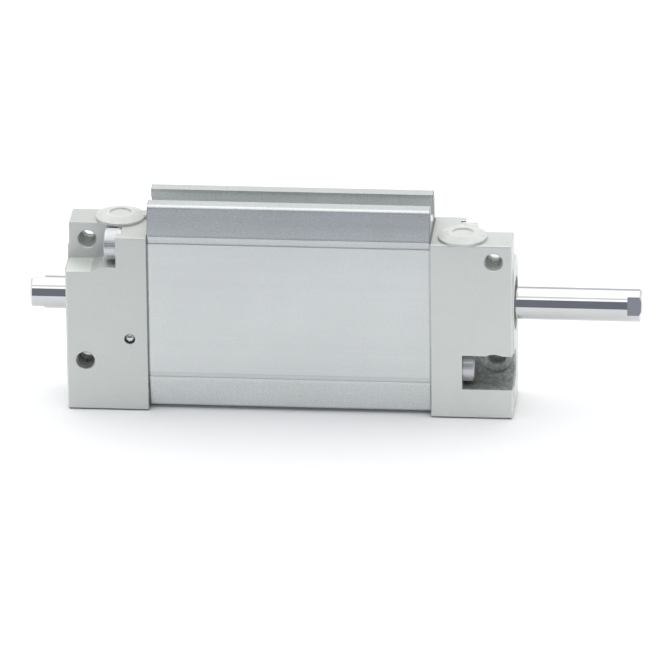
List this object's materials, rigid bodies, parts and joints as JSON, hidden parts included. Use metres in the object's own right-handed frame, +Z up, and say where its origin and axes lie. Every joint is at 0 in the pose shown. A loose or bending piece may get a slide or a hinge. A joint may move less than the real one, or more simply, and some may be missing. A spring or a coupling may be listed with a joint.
{
  "type": "flat pneumatic cylinder",
  "caption": "Flat double-acting pneumatic cylinder with an oval piston, a rod through both end caps, sensor slots, plugged air ports and mounting holes through its flat sides.",
  "frame": {"origin": "on the rod axis, at the centre of the four mounting holes, in the middle plane of the flat body", "axes": "+X along the rod to the end that stands out further at rest, +Y through the flat body to its back, +Z up across the width, from the feet to the ports"},
  "size_m": [0.1106, 0.0146, 0.0395],
  "materials": {
    "anodised_aluminium": "satin clear anodised",
    "bare_aluminium": "machined",
    "polished_rod": "polished",
    "screw_steel": "bright",
    "ball_steel": "polished",
    "bearing_bronze": "plain",
    "seal_rubber": "matte black",
    "bumper_rubber": "matte black",
    "bonded_magnet": "dark grey, plastic bonded",
    "guide_plastic": "filled bearing plastic",
    "natural_plastic": "natural, slightly see-through"
  },
  "bodies": {
    "housing": {"barrel": "anodised_aluminium", "left_cap": "anodised_aluminium", "right_cap": "anodised_aluminium", "left_cap_seal": "seal_rubber", "right_cap_seal": "seal_rubber", "left_rod_seal": "seal_rubber", "right_rod_seal": "seal_rubber", "left_bumper": "bumper_rubber", "right_bumper": "bumper_rubber", "left_rod_bush": "bearing_bronze", "right_rod_bush": "bearing_bronze", "left_screw_top": "screw_steel", "left_screw_bottom": "screw_steel", "right_screw_top": "screw_steel", "right_screw_bottom": "screw_steel", "left_ball": "ball_steel", "right_ball": "ball_steel", "left_port_plug": "natural_plastic", "right_port_plug": "natural_plastic"},
    "rod": {"right_rod": "polished_rod", "left_rod": "polished_rod", "piston": "bare_aluminium", "left_piston_seal": "seal_rubber", "right_piston_seal": "seal_rubber", "piston_magnet": "bonded_magnet", "guide_band": "guide_plastic"}
  },
  "joints": [
    {"name": "rod_slide", "type": "slide", "parent": "housing", "child": "rod", "axis": [1, 0, 0], "range_m": [-0.018, 0.002]}
  ]
}
